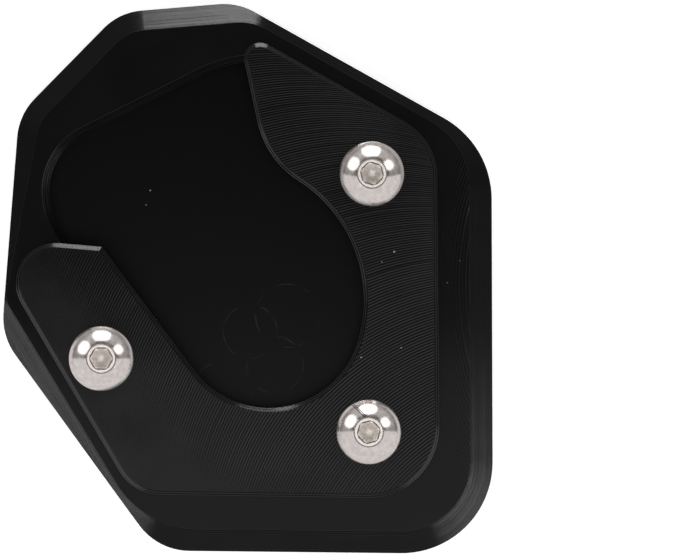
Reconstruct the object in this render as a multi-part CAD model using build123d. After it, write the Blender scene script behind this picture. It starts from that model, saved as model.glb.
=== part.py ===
from build123d import *
import os

# Kickstand foot enlarger: a broad foot for the side stand of a motorcycle, so that the stand
# doesn't sink into soft ground. The stand's own foot sits in the pocket of a milled base plate,
# and a C-shaped clamp plate, held by three button-head screws, overlaps its edge.
#
# Frame: +Z points up from the sole, the face that meets the ground. The origin is on the sole,
# under the middle of the base plate's outline. Sizes are millimetres, angles degrees.
# An outline runs clockwise, and a corner of it is (x, y, radius of its rounding): x in hundredths
# of the base plate's width, y in hundredths of its length, and the radius in hundredths of the
# smaller of its width and its length times their usual ratio. So both plates keep their layout
# when the base plate gets wider or longer.

# Base plate: seven upright walls, clockwise from the upper left one.
base_width = 71.0
base_length = 79.7
base_thickness = 11.0
width_to_length = 0.89
smaller_side = min(base_width, width_to_length * base_length)
base_corners = [
    (-46.83, 29.84, 12.7),
    (-26.34, 48.46, 12.1),
    (-2.11, 50.25, 12.7),
    (49.76, 24.37, 19.0),
    (50.06, -50.18, 18.6),
    (-18.45, -49.51, 12.7),
    (-50.31, -10.50, 12.7),
]
sole_chamfer = 0.5

# The top slopes down to the walls. Each wall has the width of its slope at its two ends: the
# slope runs out along the left wall, and narrows along the lower left one. Where two slopes'
# upper edges meet, the flat top has a rounded corner of its own.
slope_angle = 45.0
slope_widths = [
    (2.9, 2.9),
    (2.9, 2.9),
    (1.4, 1.4),
    (3.3, 3.3),
    (3.3, 3.3),
    (0.0, 3.25),
    (-0.4, 3.2),
]
flat_top_radii = [8.9, 8.9, 11.4, 15.2, 14.0, 19.0, 3.8]

# Clamp plate: clamp_corners go round its outside, and the opening for the stand is cut out of
# them. The first and the last corner lie inside the opening, where the C is open.
clamp_thickness = 4.0
clamp_chamfer = 0.6
clamp_tip_radius = 2.3
clamp_corners = [
    (-6.56, 47.84, 0.0),
    (38.52, 25.18, 12.7),
    (39.14, -39.99, 14.5),
    (-23.42, -39.17, 9.9),
    (-54.13, 7.62, 8.2),
    (-25.24, 5.42, 0.0),
]
opening_corners = [
    (-9.70, 76.96, 0.0),
    (3.61, 21.71, 19.0),
    (27.07, 8.07, 28.9),
    (14.32, -46.76, 19.0),
    (-52.31, 32.51, 0.0),
]

# Pocket in the base plate: it reaches clamp_lip further out than the opening, so the clamp plate
# holds the edge of the stand's foot down. pocket_back_corners are the pocket's end wall, on the
# open side of the C, and go on round the rest at a distance. Its corners have the milling
# cutter's radius or more.
pocket_depth = 5.0
pocket_rim_chamfer = 1.1
clamp_lip = 3.3
cutter_radius = 3.5
pocket_back_corners = [
    (-45.03, 21.14, 13.2),
    (-4.10, 39.40, 24.5),
    (57.04, 39.40, 0.0),
    (57.04, -50.63, 0.0),
    (-4.93, -50.63, 0.0),
]

# Screws: M5 x 12 button heads with a hexagon socket. A place is (x, y, turn of the socket), with
# x and y in hundredths, as a corner's are.
screw_places = [
    (25.31, 19.06, -17.0),
    (24.65, -27.85, 14.0),
    (-29.87, -14.50, 0.0),
]
screw_diameter = 5.0
screw_length = 12.0
screw_end_chamfer = 0.7
head_diameter = 9.4
head_height = 2.75
head_edge_height = 0.85
head_flat_diameter = 4.2
dome_radius = 5.95
socket_width = 3.05
socket_depth = 1.7
drill_point_diameter = 2.8
drill_point_depth = 0.7
clamp_hole_clearance = 0.25
tapped_hole_clearance = 0.05
tapped_hole_chamfer = 0.5


def on_plate(x, y):
    """A point in millimetres, from hundredths of the base plate's width and length."""
    return Vector(x * base_width / 100, y * base_length / 100)


def rounded_face(points, radii):
    """The face inside an outline, with its corners rounded; radii are in hundredths."""
    radii = [radius * smaller_side / 100 for radius in radii]
    return make_face(FilletPolyline(*points, radius=radii, close=True))


def rounded(corners):
    """The face inside the outline that a list of corners gives."""
    points = [on_plate(x, y) for x, y, _ in corners]
    return rounded_face(points, [radius for _, _, radius in corners])


def flat_top():
    """Each wall's line is moved in by its slope's widths, and neighbouring lines meet."""
    starts = [on_plate(x, y) for x, y, _ in base_corners]
    ends = starts[1:] + starts[:1]
    edges = []
    for start, end, (start_width, end_width) in zip(starts, ends, slope_widths):
        inward = (end - start).normalized().rotate(Axis.Z, -90)
        first = start + inward * start_width
        last = end + inward * end_width
        edges.append(Axis(first, last - first))
    meets = [before.intersect(edge) for before, edge in zip(edges[-1:] + edges, edges)]
    return Pos(0, 0, base_thickness) * rounded_face(meets, flat_top_radii)


def turned(*profile):
    """A solid of revolution about the Z axis, from lines in the XZ plane that end on the axis."""
    return revolve(Plane.XZ * make_face(profile), Axis.Z)


def at_each_screw(shape, height=0.0):
    """Copies of a shape on the three screws' axes, turned with their sockets."""
    up = Vector(0, 0, height)
    return [Pos(on_plate(x, y) + up) * Rot(0, 0, turn) * shape for x, y, turn in screw_places]


def base_plate(opening):
    """Upright walls, a top that slopes down to them, the pocket and three tapped holes."""
    walls = extrude(rounded(base_corners), base_thickness)
    plate = walls & extrude(flat_top(), base_thickness, dir=(0, 0, -1), taper=-slope_angle)
    plate = chamfer(plate.faces().sort_by(Axis.Z)[0].edges(), sole_chamfer)

    outline = offset(opening, clamp_lip) & rounded(pocket_back_corners)
    outline = offset(offset(outline, -cutter_radius), cutter_radius)
    plate -= Pos(0, 0, base_thickness - pocket_depth) * extrude(outline, pocket_depth)
    rim = plate.faces().sort_by(Axis.Z)[-1].inner_wires()[0].edges()
    plate = chamfer(rim, pocket_rim_chamfer)

    bore = screw_diameter / 2 + tapped_hole_clearance
    mouth = bore + tapped_hole_chamfer
    hole = turned(
        Polyline(
            (0, 0),
            (mouth, 0),
            (bore, tapped_hole_chamfer),
            (bore, base_thickness - tapped_hole_chamfer),
            (mouth, base_thickness),
            (0, base_thickness),
            close=True,
        )
    )
    return plate - at_each_screw(hole)


def clamp_plate(opening):
    """A flat C with a rounded tip, chamfered round its top, with a clear hole at each screw."""
    outline = rounded(clamp_corners) - opening
    outline = fillet(outline.vertices().sort_by(Axis.Y)[-1], clamp_tip_radius)
    plate = Pos(0, 0, base_thickness) * extrude(outline, clamp_thickness)
    plate = chamfer(plate.faces().sort_by(Axis.Z)[-1].edges(), clamp_chamfer)
    hole = extrude(Circle(screw_diameter / 2 + clamp_hole_clearance), clamp_thickness)
    return plate - at_each_screw(hole, base_thickness)


def button_screw():
    """One screw, upright, with the underside of its domed head at Z = 0."""
    shank = screw_diameter / 2
    dome_foot = (head_diameter / 2, head_edge_height)
    dome_top = (head_flat_diameter / 2, head_height)
    screw = turned(
        Polyline(
            (0, head_height),
            (0, -screw_length),
            (shank - screw_end_chamfer, -screw_length),
            (shank, screw_end_chamfer - screw_length),
            (shank, 0),
            (head_diameter / 2, 0),
            dome_foot,
        ),
        RadiusArc(dome_foot, dome_top, -dome_radius),
        Line(dome_top, (0, head_height)),
    )
    socket_floor = head_height - socket_depth
    hexagon = RegularPolygon(socket_width / 2, 6, major_radius=False)
    screw -= Pos(0, 0, socket_floor) * extrude(hexagon, socket_depth)
    point = turned(
        Polyline(
            (0, socket_floor),
            (drill_point_diameter / 2, socket_floor),
            (0, socket_floor - drill_point_depth),
            close=True,
        )
    )
    return screw - point


opening = rounded(opening_corners)
screws = at_each_screw(button_screw(), base_thickness + clamp_thickness)
for number, screw in enumerate(screws, start=1):
    screw.label = f"screw_{number}"

os.makedirs("parts", exist_ok=True)
export_step(base_plate(opening), "parts/base_plate.step")
export_step(clamp_plate(opening), "parts/clamp_plate.step")
export_step(Compound(label="clamp_screws", children=screws), "parts/clamp_screws.step")
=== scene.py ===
import math

import bpy
import numpy as np
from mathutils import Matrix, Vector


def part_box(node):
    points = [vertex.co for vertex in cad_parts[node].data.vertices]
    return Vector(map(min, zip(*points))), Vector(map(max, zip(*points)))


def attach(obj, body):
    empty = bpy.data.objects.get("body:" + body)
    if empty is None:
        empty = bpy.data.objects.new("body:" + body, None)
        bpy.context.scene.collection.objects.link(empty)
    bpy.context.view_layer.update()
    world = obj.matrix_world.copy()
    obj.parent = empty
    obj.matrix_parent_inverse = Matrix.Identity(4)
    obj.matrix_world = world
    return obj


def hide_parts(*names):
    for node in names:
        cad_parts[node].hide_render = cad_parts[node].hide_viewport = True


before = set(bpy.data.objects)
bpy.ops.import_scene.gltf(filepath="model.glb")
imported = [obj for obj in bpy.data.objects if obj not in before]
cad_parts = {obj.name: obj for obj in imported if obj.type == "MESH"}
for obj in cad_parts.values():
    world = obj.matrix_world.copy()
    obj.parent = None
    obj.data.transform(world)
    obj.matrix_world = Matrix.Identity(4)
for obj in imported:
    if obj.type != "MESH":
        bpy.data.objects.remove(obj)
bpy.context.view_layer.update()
scene = bpy.context.scene
scene.view_settings.view_transform = "Standard"

# Kickstand foot enlarger: a black anodised base plate and C-shaped clamp plate, with three
# polished button-head screws. Lengths are metres, unless a name or a comment says millimetres.

# ---- Camera: straight down on the plate from 3 m, as a long lens sees it, with the middle of
# the picture beside the middle of the plate.
camera_distance = 3.0
picture_width = 0.09855
picture_middle = (0.01334, 0.00002)
top_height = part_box("base_plate")[1].z
camera = bpy.data.objects.new("camera", bpy.data.cameras.new("camera"))
camera.location = (*picture_middle, top_height + camera_distance)
camera.data.lens = camera.data.sensor_width * camera_distance / picture_width
camera.data.clip_end = 10.0
scene.collection.objects.link(camera)
scene.camera = camera


# ---- Studio: a plain pale floor, a grey room that is darker overhead, and white cards. The
# cards don't show in the picture, and the metal doesn't mirror the floor.
def linear(hex_colour):
    """A colour written as sRGB hex, turned linear: each channel by the sRGB curve."""
    channels = np.array([int(hex_colour[i : i + 2], 16) / 255 for i in (0, 2, 4)])
    low, high = channels / 12.92, ((channels + 0.055) / 1.055) ** 2.4
    return (*np.where(channels <= 0.04045, low, high), 1.0)


def node(tree, kind, inputs=None, **settings):
    """Adds one node with its settings, and its inputs as constants or links; gives its output."""
    made = tree.nodes.new(kind)
    for name, value in settings.items():
        setattr(made, name, value)
    for name, value in (inputs or {}).items():
        if isinstance(value, bpy.types.NodeSocket):
            tree.links.new(value, made.inputs[name])
        else:
            made.inputs[name].default_value = value
    return made.outputs[0] if len(made.outputs) == 1 else made.outputs


def empty_material(name):
    """A new material with no nodes in its tree."""
    material = bpy.data.materials.new(name)
    material.use_nodes = True
    material.node_tree.nodes.clear()
    return material, material.node_tree


def mesh_object(name, points, faces):
    """An object at the origin whose mesh has these points (n, 3) and faces."""
    mesh = bpy.data.meshes.new(name)
    mesh.from_pydata(np.asarray(points, float).tolist(), [], faces)
    made = bpy.data.objects.new(name, mesh)
    scene.collection.objects.link(made)
    return made


def studio_card(name, middle, across, up, radiance, squareness=30.0, lit_pieces=()):
    """A glowing card, from its middle and its two half sides. Its outline is a superellipse: at
    an angle, each half side is taken times the angle's cosine or sine to the power of two over
    the squareness, which is 2 for an oval and large for a rectangle. With lit_pieces, the card
    glows only in the gloss of those, and is clear to everything else."""
    corners = 64
    turn = np.linspace(0, 2 * np.pi, corners, endpoint=False)[:, None]
    reach = [np.sign(w) * np.abs(w) ** (2 / squareness) for w in (np.cos(turn), np.sin(turn))]
    outline = np.array(middle) + reach[0] * np.array(across) + reach[1] * np.array(up)
    card = mesh_object(name, outline, [tuple(range(corners))])
    material, tree = empty_material(name)
    glow = node(tree, "ShaderNodeEmission", {"Color": linear("ffffff"), "Strength": radiance})
    if lit_pieces:
        clear = node(tree, "ShaderNodeBsdfTransparent")
        glow = node(tree, "ShaderNodeAddShader", {0: glow, 1: clear})
        lit = bpy.data.collections.new(name + " lights")
        for piece in lit_pieces:
            lit.objects.link(piece)
        card.light_linking.receiver_collection = lit
        card.visible_diffuse = False
        card.visible_shadow = False
    node(tree, "ShaderNodeOutputMaterial", {"Surface": glow})
    card.data.materials.append(material)
    card.visible_camera = False


# The floor glows a little, so that it stays pale, and is clear from below, for a view of the sole.
floor_size = 4.0
under_sole = -0.00002
floor_corners = ((-1, -1), (1, -1), (1, 1), (-1, 1))
floor_points = [(x * floor_size, y * floor_size, under_sole) for x, y in floor_corners]
floor = mesh_object("floor", floor_points, [(0, 1, 2, 3)])
material, tree = empty_material("pale studio floor")
white = node(tree, "ShaderNodeBsdfDiffuse", {"Color": linear("f4f4f4")})
glow = node(tree, "ShaderNodeEmission", {"Color": linear("ffffff"), "Strength": 0.62})
lit = node(tree, "ShaderNodeAddShader", {0: white, 1: glow})
from_below = node(tree, "ShaderNodeNewGeometry")["Backfacing"]
clear = node(tree, "ShaderNodeBsdfTransparent")
one_way = node(tree, "ShaderNodeMixShader", {0: from_below, 1: lit, 2: clear})
node(tree, "ShaderNodeOutputMaterial", {"Surface": one_way})
floor.data.materials.append(material)
floor.visible_glossy = False

# The room's greys go from below the plate to overhead, by the upward part of the direction.
scene.world = bpy.data.worlds.new("studio")
scene.world.use_nodes = True
tree = scene.world.node_tree
tree.nodes.clear()
direction = node(tree, "ShaderNodeTexCoord")["Generated"]
_, backwards, height = node(tree, "ShaderNodeSeparateXYZ", {0: direction})
ramp = tree.nodes.new("ShaderNodeValToRGB")
tree.links.new(height, ramp.inputs[0])
room_greys = [(0.0, 0.24), (0.24, 0.56), (0.58, 0.56), (0.68, 0.14), (0.85, 0.18), (0.97, 0.32)]
for stop, (position, grey) in enumerate(room_greys):
    if stop >= len(ramp.color_ramp.elements):
        ramp.color_ramp.elements.new(position)
    ramp.color_ramp.elements[stop].position = position
    ramp.color_ramp.elements[stop].color = (grey, grey, grey, 1.0)
inputs = {0: backwards, 1: 0.0, 2: 0.8, 3: 0.68, 4: 1.15}
lighter_behind = node(tree, "ShaderNodeMapRange", inputs)[0]
room = node(tree, "ShaderNodeBackground", {"Color": ramp.outputs[0], "Strength": lighter_behind})
backdrop = node(tree, "ShaderNodeBackground", {"Color": linear("fafafa"), "Strength": 1.0})
seen = node(tree, "ShaderNodeLightPath")["Is Camera Ray"]
either = node(tree, "ShaderNodeMixShader", {0: seen, 1: room, 2: backdrop})
node(tree, "ShaderNodeOutputWorld", {"Surface": either})

# A wall of light stands low in front, and three softboxes stand behind and at the sides, which
# show as bright spots on the screws' domes. These four light everything.
studio_card("front_card", (0.0, -1.211, 0.09), (6.0, 0, 0), (0, 1.2, 0.075), 0.95)
for name, middle, across, up, radiance, squareness in (
    ("back_softbox", (-0.01, 0.8, 0.36), (0.33, 0, 0), (0, 0, 0.29), 2.6, 2.8),
    ("left_softbox", (-0.628, 0.3625, 0.42), (-0.125, -0.216, 0), (0.085, -0.049, 0.24), 2.0, 2.4),
    ("right_softbox", (0.624, 0.332, 0.5), (-0.09, 0.169, 0), (-0.08, -0.042, 0.2), 2.0, 2.4),
):
    studio_card(name, middle, across, up, radiance, squareness)

# Seen from above, a 45 degree bevel mirrors the horizon. So small upright cards stand close by at
# the plates' own height. Each lights one plate only, since the two catch the light differently.
base = (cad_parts["base_plate"],)
clamp = (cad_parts["clamp_plate"],)
for name, middle, across, half_height, radiance, squareness, lit_pieces in (
    ("low_back_card", (0.004, 0.138, 0.0085), (0.031, 0, 0), 0.0085, 10.0, 4.0, base),
    ("clamp_back_card", (0.006, 0.142, 0.014), (0.047, 0, 0), 0.011, 11.0, 4.0, clamp),
    ("low_right_card", (0.145, -0.0925, 0.0083), (0.055, 0.08, 0), 0.0083, 4.4, 2.2, base),
    ("low_left_card", (-0.105, -0.083, 0.0083), (-0.04, 0.055, 0), 0.0083, 3.15, 2.2, base),
    ("pocket_card", (0.04, -0.002, 0.03), (0, 0.035, 0), 0.014, 2.5, 4.0, base),
    ("clamp_right_card", (0.149, -0.0955, 0.02), (0.05, 0.072, 0), 0.02, 1.4, 2.2, clamp),
    ("clamp_left_card", (-0.109, -0.086, 0.02), (-0.05, 0.07, 0), 0.02, 1.4, 2.2, clamp),
):
    studio_card(name, middle, across, (0, 0, half_height), radiance, squareness, lit_pieces)


# ---- Base plate: aluminium plate, milled all over, then dyed black and anodised. The cutter
# leaves fine arcs on its top, and level steps down its slope and its walls.
def milled_black(name, arcs, fades, rings, specks, specular, roughness, greyest, top_level):
    """Black anodised aluminium, milled. The dye gives a deep black with a weak, soft gloss, and
    the cutter's marks catch it as fine lines, which are also painted into the colour as a painted
    sheen: lighter ridges. All lengths here are millimetres. arcs are the marks on the flat top: the
    direction in which the cutter travelled, the cutter's radius, the place of its path across that
    direction, and the feed from one arc to the next. Each fade thins the arcs along a direction:
    its x and y, where they are faintest, where they are full, and the least share of them. rings
    are the cutter's round tracks below the top, and specks are grains of dust: x, y and radius."""
    travel_x, travel_y, cutter, path, feed = arcs
    material, tree = empty_material(name)
    place = node(tree, "ShaderNodeTexCoord")
    inputs = {0: place["Object"], "Scale": 1000.0}
    mm = node(tree, "ShaderNodeVectorMath", inputs, operation="SCALE")[0]
    x, y, z = node(tree, "ShaderNodeSeparateXYZ", {0: mm})
    faces_up = node(tree, "ShaderNodeSeparateXYZ", {0: place["Normal"]})["Z"]

    # An arc is every point with the same distance along the travel, plus the cutter circle's
    # depth at the point's distance from the path.
    along = node(tree, "ShaderNodeMath", {0: x, 1: travel_x}, operation="MULTIPLY")
    along = node(tree, "ShaderNodeMath", {0: y, 1: travel_y, 2: along}, operation="MULTIPLY_ADD")
    across = node(tree, "ShaderNodeMath", {0: x, 1: -travel_y, 2: -path}, operation="MULTIPLY_ADD")
    across = node(tree, "ShaderNodeMath", {0: y, 1: travel_x, 2: across}, operation="MULTIPLY_ADD")
    squared = node(tree, "ShaderNodeMath", {0: across, 1: across}, operation="MULTIPLY")
    rest = node(tree, "ShaderNodeMath", {0: cutter**2, 1: squared}, operation="SUBTRACT")
    rest = node(tree, "ShaderNodeMath", {0: rest, 1: 1.0}, operation="MAXIMUM")
    depth = node(tree, "ShaderNodeMath", {0: rest, 1: 0.5}, operation="POWER")
    arc = node(tree, "ShaderNodeMath", {0: along, 1: depth}, operation="ADD")
    arc_turns = node(tree, "ShaderNodeMath", {0: arc, 1: 1 / feed}, operation="MULTIPLY")

    # The steps are 0.45 mm apart along the 45 degree slope.
    steps_in_mm = math.sqrt(2) / 0.45
    step_turns = node(tree, "ShaderNodeMath", {0: z, 1: steps_in_mm}, operation="MULTIPLY")
    flat = node(tree, "ShaderNodeMath", {0: faces_up, 1: 0.97}, operation="GREATER_THAN")
    sloping = node(tree, "ShaderNodeMath", {0: 1.0, 1: flat}, operation="SUBTRACT")
    inputs = {0: flat, 2: step_turns, 3: arc_turns}
    turns = node(tree, "ShaderNodeMix", inputs, data_type="FLOAT")[0]

    # How strong the marks are: they fade in broad patches and by the fades, a slope's are a
    # third as strong, and a floor below the top has none.
    patch = node(tree, "ShaderNodeTexNoise", {"Vector": mm, "Scale": 0.06, "Detail": 2.0})[0]
    patch = node(tree, "ShaderNodeMapRange", {0: patch, 1: 0.35, 2: 0.55, 3: 0.6, 4: 1.0})[0]
    full = 1.0
    for fade_x, fade_y, faint_at, full_at, least in fades:
        along = node(tree, "ShaderNodeMath", {0: x, 1: fade_x}, operation="MULTIPLY")
        along = node(tree, "ShaderNodeMath", {0: y, 1: fade_y, 2: along}, operation="MULTIPLY_ADD")
        inputs = {0: along, 1: faint_at, 2: full_at, 3: least, 4: 1.0}
        share = node(tree, "ShaderNodeMapRange", inputs)[0]
        full = node(tree, "ShaderNodeMath", {0: share, 1: full}, operation="MULTIPLY")
    on_slope = node(tree, "ShaderNodeMath", {0: sloping, 1: 0.35}, operation="MULTIPLY")
    full = node(tree, "ShaderNodeMath", {0: full, 1: flat, 2: on_slope}, operation="MULTIPLY_ADD")
    strength = node(tree, "ShaderNodeMath", {0: patch, 1: full}, operation="MULTIPLY")
    marked = node(tree, "ShaderNodeMath", {0: z, 1: top_level - 0.4}, operation="GREATER_THAN")
    marked = node(tree, "ShaderNodeMath", {0: marked, 1: sloping}, operation="MAXIMUM")
    strength = node(tree, "ShaderNodeMath", {0: strength, 1: marked}, operation="MULTIPLY")

    # Each mark is a shallow groove, and no two are equally deep.
    radians = node(tree, "ShaderNodeMath", {0: turns, 1: 2 * math.pi}, operation="MULTIPLY")
    groove = node(tree, "ShaderNodeMath", {0: radians}, operation="SINE")
    inputs = {"W": turns, "Scale": 0.8, "Detail": 2.0}
    which = node(tree, "ShaderNodeTexNoise", inputs, noise_dimensions="1D")[0]
    uneven = node(tree, "ShaderNodeMath", {0: which, 1: 1.6}, operation="MULTIPLY")
    mark = node(tree, "ShaderNodeMath", {0: groove, 1: uneven}, operation="MULTIPLY")
    mark = node(tree, "ShaderNodeMath", {0: mark, 1: strength}, operation="MULTIPLY")

    # The ridges are painted a trace greyer, as painted sheen on the cutter's marks, and the dye
    # takes a little unevenly, in specks and clouds.
    grains = node(tree, "ShaderNodeTexNoise", {"Vector": mm, "Scale": 3.0, "Detail": 3.0})[0]
    cloud = node(tree, "ShaderNodeTexNoise", {"Vector": mm, "Scale": 0.12, "Detail": 3.0})[0]
    grey = node(tree, "ShaderNodeMath", {0: grains, 1: 0.45, 2: 0.275}, operation="MULTIPLY_ADD")
    grey = node(tree, "ShaderNodeMath", {0: grey, 1: cloud}, operation="MULTIPLY")
    grey = node(tree, "ShaderNodeMath", {0: mark, 1: 1.6, 2: grey}, operation="MULTIPLY_ADD")
    grey = node(tree, "ShaderNodeMath", {0: strength, 1: -0.3, 2: grey}, operation="MULTIPLY_ADD")
    tone = node(tree, "ShaderNodeMapRange", {0: grey, 1: 0.02, 2: 0.77, 3: 0.0, 4: 1.0})[0]

    # A floor below the top is darkened with painted shade, since it lies down in the pocket, and
    # dust lies there in broken rings, as it does in specks.
    below = node(tree, "ShaderNodeMath", {0: z, 1: top_level - 0.5}, operation="LESS_THAN")
    below = node(tree, "ShaderNodeMath", {0: below, 1: flat}, operation="MULTIPLY")
    painted_recess_shade = node(tree, "ShaderNodeMath", {0: below, 1: 0.6}, operation="MULTIPLY")
    inputs = {0: tone, 1: painted_recess_shade}
    tone = node(tree, "ShaderNodeMath", inputs, operation="SUBTRACT", use_clamp=True)
    broken = node(tree, "ShaderNodeTexNoise", {"Vector": mm, "Scale": 0.45, "Detail": 1.0})[0]
    broken = node(tree, "ShaderNodeMapRange", {0: broken, 1: 0.42, 2: 0.65, 3: 0.0, 4: 0.045})[0]
    broken = node(tree, "ShaderNodeMath", {0: broken, 1: below}, operation="MULTIPLY")
    level = node(tree, "ShaderNodeCombineXYZ", {0: x, 1: y})
    dust = 0.0
    for ring_x, ring_y, ring_radius in rings:
        inputs = {0: level, 1: (ring_x, ring_y, 0.0)}
        away = node(tree, "ShaderNodeVectorMath", inputs, operation="DISTANCE")["Value"]
        inputs = {0: away, 1: ring_radius, 2: 0.1}
        on_ring = node(tree, "ShaderNodeMath", inputs, operation="COMPARE")
        inputs = {0: on_ring, 1: broken, 2: dust}
        dust = node(tree, "ShaderNodeMath", inputs, operation="MULTIPLY_ADD")
    for speck_x, speck_y, speck_radius in specks:
        inputs = {0: level, 1: (speck_x, speck_y, 0.0)}
        away = node(tree, "ShaderNodeVectorMath", inputs, operation="DISTANCE")["Value"]
        speck = node(tree, "ShaderNodeMath", {0: away, 1: speck_radius}, operation="LESS_THAN")
        dust = node(tree, "ShaderNodeMath", {0: speck, 1: dust}, operation="ADD")
    dust = node(tree, "ShaderNodeMath", {0: dust, 1: flat}, operation="MULTIPLY")
    inputs = {0: tone, 6: linear("020203"), 7: linear(greyest)}
    colour = node(tree, "ShaderNodeMix", inputs, data_type="RGBA")[2]
    inputs = {0: dust, 6: colour, 7: linear("9a9a98")}
    colour = node(tree, "ShaderNodeMix", inputs, data_type="RGBA")[2]

    # Ridges are a little smoother than grooves, and the floor below the top is duller.
    inputs = {0: mark, 1: -1.0, 2: 1.0, 3: roughness + 0.03, 4: roughness - 0.03}
    rough = node(tree, "ShaderNodeMapRange", inputs)[0]
    rough = node(tree, "ShaderNodeMath", {0: below, 1: 0.1, 2: rough}, operation="MULTIPLY_ADD")
    fine = node(tree, "ShaderNodeMath", {0: grains, 1: 0.5, 2: mark}, operation="MULTIPLY_ADD")
    inputs = {"Height": fine, "Distance": 0.000012, "Strength": 1.0}
    bump = node(tree, "ShaderNodeBump", inputs)
    shader = node(
        tree,
        "ShaderNodeBsdfPrincipled",
        {
            "Base Color": colour,
            "Roughness": rough,
            "Specular IOR Level": specular,
            "Normal": bump,
        },
    )
    node(tree, "ShaderNodeOutputMaterial", {"Surface": shader})
    return material


black_base = milled_black(
    "black anodised aluminium, milled with a large cutter",
    arcs=(0.993, 0.122, 46.5, -10.2, 0.48),
    fades=[(1.0, 0.0, 29.5, 33.0, 0.07)],
    rings=[(0.3, -7.7, 3.9), (5.7, -5.4, 4.6), (3.9, -12.5, 4.1), (-3.8, -16.4, 4.3)],
    specks=[(-14.2, 12.8, 0.1), (-14.8, 10.7, 0.08), (28.9, -0.6, 0.06), (30.7, 2.6, 0.06)],
    specular=0.19,
    roughness=0.17,
    greyest="171718",
    top_level=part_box("base_plate")[1].z * 1000,
)
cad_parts["base_plate"].material_slots[0].material = black_base

# ---- Clamp plate: a flat C of the same aluminium, milled across its top with a smaller cutter
# that travelled slantwise, chamfered along its top edges, dyed black and anodised. The real arcs
# are 0.38 mm apart. They are drawn 0.43 mm apart, because finer ones blur to grey in a render.
black_clamp = milled_black(
    "black anodised aluminium, face-milled slantwise",
    arcs=(0.682, -0.731, 39.9, -1.84, 0.43),
    fades=[
        (0.8, 0.6, -23.0, -16.0, 0.08),
        (0.98, -0.19, -14.0, 26.0, 0.3),
        (0.0, 1.0, -30.0, -24.0, 0.4),
    ],
    rings=[],
    specks=[
        (21.2, 3.9, 0.13),
        (27.2, 7.6, 0.12),
        (19.4, 2.4, 0.08),
        (22.2, -10.0, 0.09),
        (16.4, -11.4, 0.1),
    ],
    specular=0.2,
    roughness=0.18,
    greyest="2d2d2e",
    top_level=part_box("clamp_plate")[1].z * 1000,
)
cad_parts["clamp_plate"].material_slots[0].material = black_clamp


# ---- Button-head screws: three M5 x 12 of A2 stainless steel, cold-forged with a hexagon
# socket, thread-rolled and polished. They go through the clamp plate into the base plate.
def ring_mesh(name, rings):
    """A closed surface from rings (rings, steps, 3) of points, with a point at each end where
    the first and last rings have shrunk to one. Faces look outwards when the rings go upwards
    on the outside and each ring turns anticlockwise."""
    count, steps, _ = rings.shape
    inner = rings[1:-1].reshape(-1, 3)
    points = np.vstack([rings[0, :1], inner, rings[-1, :1]])
    step = np.arange(steps)
    following = (step + 1) % steps
    row = 1 + np.arange(count - 3)[:, None] * steps
    sides = [row + step, row + following, row + steps + following, row + steps + step]
    sides = np.stack(sides, -1)
    last = 1 + (count - 3) * steps
    bottom = np.stack([0 * step, 1 + following, 1 + step], -1)
    top = np.stack([last + step, last + following, 0 * step + len(points) - 1], -1)
    faces = [*sides.reshape(-1, 4).tolist(), *bottom.tolist(), *top.tolist()]
    made = mesh_object(name, points, faces)
    made.data.shade_smooth()
    made.data.set_sharp_from_angle(angle=math.radians(32))
    return made


def thread_radius(angle, height, pitch, root, crest):
    """A right-hand thread: the radius goes from root to crest and back once in each pitch up,
    and the pattern climbs one pitch in a turn. It has flat crests and roots."""
    turn = (height / pitch - angle / (2 * np.pi)) % 1.0
    rise = np.clip(np.abs(turn - 0.5) * 2 * 1.6 - 0.25, 0.0, 1.0)
    return root + (crest - root) * (1 - rise)


pitch = 0.0008
screw_radius = 0.0025
thread_root = 0.00207
screw_length = 0.012
end_chamfer = 0.0007
head_radius = 0.0047
dome_radius = 0.00595
steps = 144
angle = np.linspace(0, 2 * np.pi, steps, endpoint=False)

# The shank, from the end up: a flat end, its chamfer, and the thread up to a short plain neck.
shank_heights = np.arange(-screw_length, -0.0006, pitch / 9)[:, None]
thread = thread_radius(angle, shank_heights, pitch, thread_root, screw_radius)
end_cone = screw_radius - end_chamfer + (shank_heights + screw_length)
shank_radii = np.minimum(thread, end_cone)
shank = [shank_radii * np.cos(angle), shank_radii * np.sin(angle), shank_heights + 0 * shank_radii]
shank = np.stack(shank, -1)
neck = np.array([[thread_root, -0.0005], [thread_root, -0.0001], [0.00225, 0.0]])

# The head: a flat underside, a rounded edge, the dome, and a rolled line where it meets the
# flat ring round the socket. Each row is a radius and a height. The dome is an arc of its
# radius through its foot and its top.
edge_turn = np.radians([-90, -65, -40, -15, 0])
edge_round = 0.00016
edge = edge_round * np.stack([np.cos(edge_turn), np.sin(edge_turn)], -1)
edge = edge + (head_radius - edge_round, edge_round)
rim = np.array([[head_radius, 0.00075], [head_radius, 0.0008]])
dome_foot = np.array([head_radius - 0.00003, 0.00085])
dome_top = np.array([0.0022, 0.0027])
chord = dome_top - dome_foot
across_chord = np.array([-chord[1], chord[0]]) / np.hypot(*chord)
middle_from_chord = math.sqrt(dome_radius**2 - (chord @ chord) / 4)
dome_middle = (dome_foot + dome_top) / 2 + across_chord * middle_from_chord
dome_ends = [math.atan2(*(end - dome_middle)[::-1]) for end in (dome_foot, dome_top)]
dome_turn = np.linspace(*dome_ends, 40)
dome = dome_middle + dome_radius * np.stack([np.cos(dome_turn), np.sin(dome_turn)], -1)
rolled = np.array([[0.00216, 0.00262], [0.0021, 0.0026], [0.00206, 0.00271], [0.00202, 0.002745]])
ring = np.array([[0.00196, 0.00275], [0.00182, 0.00275], [0.0017, 0.002745]])
head = np.vstack([neck, edge, rim, dome, rolled, ring])

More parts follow.
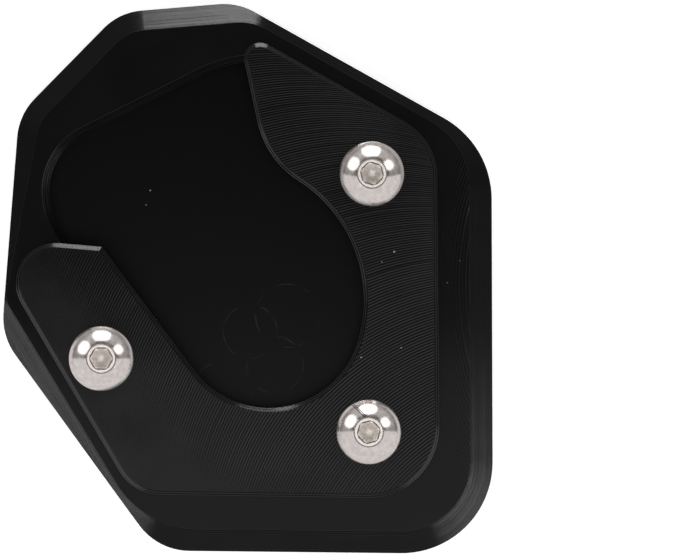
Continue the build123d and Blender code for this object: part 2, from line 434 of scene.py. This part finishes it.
# The socket: a hexagon with slightly rounded corners, entered by a short chamfer, and a drill
# point in its floor. A ring's distance from the axis at an angle is the half width over the
# rounded greatest of the cosines to the six flats.
corner_sharpness = 40
to_flats = np.cos(angle[:, None] - np.radians(30 + 60 * np.arange(6)))
nearest_flat = (np.clip(to_flats, 0, None) ** corner_sharpness).sum(1) ** (1 / corner_sharpness)
hexagon = 1 / nearest_flat
socket_mouth = np.array([[0.00162, 0.002735], [0.0016, 0.00271], [0.0015, 0.00255]])
socket_wall = np.array([[0.00145, 0.00235], [0.00144, 0.00112], [0.00142, 0.00106]])
socket = np.vstack([socket_mouth, socket_wall])
drill_point = np.array([[0.0014, 0.00105], [0.00135, 0.00102], [0.0007, 0.0007], [0.0, 0.00035]])


def circles(rows, shape=1.0):
    """Rings of points, one for each row's radius and height; shape scales the radius by angle."""
    radii, heights = rows[:, :1], rows[:, 1:]
    reach = radii * shape * np.ones(steps)
    return np.stack([reach * np.cos(angle), reach * np.sin(angle), heights + 0 * reach], -1)


end_point = circles(np.array([[0.0, -screw_length]]))
screw_rings = np.concatenate(
    [end_point, shank, circles(head), circles(socket, hexagon), circles(drill_point)]
)

# Polished stainless steel mirrors the studio sharply, over faint clouds and small dents.
polished_steel, tree = empty_material("A2 stainless steel, cold-forged and polished")
place = node(tree, "ShaderNodeTexCoord")["Object"]
mm = node(tree, "ShaderNodeVectorMath", {0: place, "Scale": 1000.0}, operation="SCALE")[0]
mottle = node(tree, "ShaderNodeTexNoise", {"Vector": mm, "Scale": 1.6, "Detail": 4.0})[0]
grain = node(tree, "ShaderNodeTexNoise", {"Vector": mm, "Scale": 9.0, "Detail": 3.0})[0]
tone = node(tree, "ShaderNodeMapRange", {0: mottle, 1: 0.35, 2: 0.65, 3: 0.0, 4: 1.0})[0]
inputs = {0: tone, 6: linear("c6bebb"), 7: linear("d6cecb")}
colour = node(tree, "ShaderNodeMix", inputs, data_type="RGBA")[2]

# One head has a double scratch across its dome: two lines from a start in a direction, both in
# millimetres.
scratch_start = (15.1, -18.25, 0.0)
scratch_direction = (0.72, -0.694, 0.0)
scratch_side = (0.694, 0.72, 0.0)
inputs = {0: mm, 1: scratch_start}
away = node(tree, "ShaderNodeVectorMath", inputs, operation="SUBTRACT")[0]
inputs = {0: away, 1: scratch_direction}
along = node(tree, "ShaderNodeVectorMath", inputs, operation="DOT_PRODUCT")[1]
inputs = {0: away, 1: scratch_side}
beside = node(tree, "ShaderNodeVectorMath", inputs, operation="DOT_PRODUCT")[1]
first_line = node(tree, "ShaderNodeMath", {0: beside, 1: 0.0, 2: 0.06}, operation="COMPARE")
second_line = node(tree, "ShaderNodeMath", {0: beside, 1: 0.24, 2: 0.05}, operation="COMPARE")
lines = node(tree, "ShaderNodeMath", {0: first_line, 1: second_line}, operation="ADD")
in_reach = node(tree, "ShaderNodeMath", {0: along, 1: 1.3, 2: 1.35}, operation="COMPARE")
scratch = node(tree, "ShaderNodeMath", {0: lines, 1: in_reach}, operation="MULTIPLY")
inputs = {0: scratch, 6: colour, 7: linear("4a4542")}
colour = node(tree, "ShaderNodeMix", inputs, data_type="RGBA")[2]
rough = node(tree, "ShaderNodeMapRange", {0: mottle, 1: 0.3, 2: 0.7, 3: 0.1, 4: 0.19})[0]
dents = node(tree, "ShaderNodeMath", {0: mottle, 1: 2.0, 2: grain}, operation="MULTIPLY_ADD")
dents = node(tree, "ShaderNodeMath", {0: scratch, 1: -8.0, 2: dents}, operation="MULTIPLY_ADD")
bump = node(tree, "ShaderNodeBump", {"Height": dents, "Distance": 0.0000025, "Strength": 1.0})
shader = node(
    tree,
    "ShaderNodeBsdfPrincipled",
    {"Base Color": colour, "Metallic": 1.0, "Roughness": rough, "Normal": bump},
)
node(tree, "ShaderNodeOutputMaterial", {"Surface": shader})

# The socket and the ring round it are as the forging punch left them: pale, dull and pitted.
clamp_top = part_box("clamp_plate")[1].z
forged_steel, tree = empty_material("A2 stainless steel, as forged in the socket")
place = node(tree, "ShaderNodeTexCoord")
mm = node(tree, "ShaderNodeVectorMath", {0: place["Object"], "Scale": 1000.0}, operation="SCALE")[0]
pits = node(tree, "ShaderNodeTexNoise", {"Vector": mm, "Scale": 3.5, "Detail": 4.0})[0]
tone = node(tree, "ShaderNodeMapRange", {0: pits, 1: 0.35, 2: 0.65, 3: 0.0, 4: 1.0})[0]
inputs = {0: tone, 6: linear("d2cac4"), 7: linear("ebe3dd")}
colour = node(tree, "ShaderNodeMix", inputs, data_type="RGBA")[2]

# Painted shade darkens the steep faces at the socket's mouth and in the line round the ring,
# dims the flat ring a little, and darkens the drill point a little. mouth_mm is just below the
# mouth, and the two heights after it are the drill point's tip and top.
mouth_mm = clamp_top * 1000 + 2.3
tip_mm = clamp_top * 1000 + 0.35
point_top_mm = clamp_top * 1000 + 1.03
faces_up = node(tree, "ShaderNodeSeparateXYZ", {0: place["Normal"]})["Z"]
height_mm = node(tree, "ShaderNodeSeparateXYZ", {0: mm})["Z"]
painted_socket_shade = node(tree, "ShaderNodeMapRange", {0: faces_up, 1: 0.6, 2: 0.9, 3: 1.0, 4: 0.18})[0]
near_mouth = node(tree, "ShaderNodeMath", {0: height_mm, 1: mouth_mm}, operation="GREATER_THAN")
painted_socket_shade = node(tree, "ShaderNodeMath", {0: painted_socket_shade, 1: near_mouth}, operation="MULTIPLY")
inputs = {0: height_mm, 1: tip_mm, 2: point_top_mm, 3: 0.14, 4: 0.0}
drill_point_shade = node(tree, "ShaderNodeMapRange", inputs)[0]
painted_socket_shade = node(tree, "ShaderNodeMath", {0: painted_socket_shade, 1: drill_point_shade}, operation="MAXIMUM")
inputs = {0: painted_socket_shade, 6: colour, 7: linear("5d5550")}
colour = node(tree, "ShaderNodeMix", inputs, data_type="RGBA")[2]
bump = node(tree, "ShaderNodeBump", {"Height": pits, "Distance": 0.00002, "Strength": 1.0})
shader = node(
    tree,
    "ShaderNodeBsdfPrincipled",
    {"Base Color": colour, "Metallic": 0.45, "Roughness": 0.42, "Normal": bump},
)
node(tree, "ShaderNodeOutputMaterial", {"Surface": shader})

# Each place is x, y and the turn of the socket in degrees. The forged faces are those above the
# head's underside and inside its rolled line.
screw_places = [(0.01797, 0.01519, -17.0), (0.0175, -0.0222, 14.0), (-0.02121, -0.01156, 0.0)]
forged_radius = 0.00218
screws = []
for number, (x, y, turn) in enumerate(screw_places, start=1):
    cosine, sine = math.cos(math.radians(turn)), math.sin(math.radians(turn))
    turned = screw_rings @ np.array([[cosine, sine, 0], [-sine, cosine, 0], [0, 0, 1]])
    screw = ring_mesh(f"button_screw_{number}", turned + (x, y, clamp_top))
    screw.data.materials.append(polished_steel)
    screw.data.materials.append(forged_steel)
    middles = np.array([face.center[:] for face in screw.data.polygons]) - (x, y, clamp_top)
    forged = (np.hypot(*middles.T[:2]) < forged_radius) & (middles[:, 2] > 0)
    screw.data.polygons.foreach_set("material_index", forged.astype(np.int32))
    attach(screw, "root")
    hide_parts("clamp_screws")
    screws.append(screw)

# A card overhead lights the flat rings and the sockets. The heads' rims look out over the plates
# to white paper all round, which is brighter in front. All three light only the screws.
studio_card("top_card", (0.0, 0.0, 0.16), (0.085, 0, 0), (0, 0.085, 0), 1.45, 30.0, screws)
for name, middle, radiance in (("front_paper", -1.0, 0.76), ("back_paper", 1.0, 0.35)):
    paper = (0, middle, clamp_top - 0.0001)
    studio_card(name, paper, (2.0, 0, 0), (0, 1.0, 0), radiance, 30.0, screws)

# ---- Tapped threads: the part of each tapped hole below the screw's end shows the base
# plate's own M5 thread, cut before the anodising.
thread_top = 0.0029
thread_bottom = 0.0006
in_metal = 0.0027
play = 0.00006
for number, (x, y, _) in enumerate(screw_places, start=1):
    heights = np.arange(thread_top, thread_bottom, -pitch / 9)[:, None]
    below_head = heights - clamp_top
    radii = thread_radius(angle, below_head, pitch, thread_root + play, screw_radius + play)
    wall = np.stack([radii * np.cos(angle), radii * np.sin(angle), heights + 0 * radii], -1)
    outside = circles(np.array([[in_metal, thread_bottom], [in_metal, thread_top]]))
    loop = np.concatenate([outside, wall])
    count = len(loop)
    points = (loop + (x, y, 0.0)).reshape(-1, 3)
    row, step = np.arange(count)[:, None] * steps, np.arange(steps)
    next_row, next_step = (row + steps) % (count * steps), (step + 1) % steps
    faces = [row + step, row + next_step, next_row + next_step, next_row + step]
    faces = np.stack(faces, -1)
    tapped = mesh_object(f"tapped_thread_{number}", points, faces.reshape(-1, 4).tolist())
    tapped.data.shade_smooth()
    tapped.data.set_sharp_from_angle(angle=math.radians(32))
    tapped.data.materials.append(black_base)
    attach(tapped, "root")
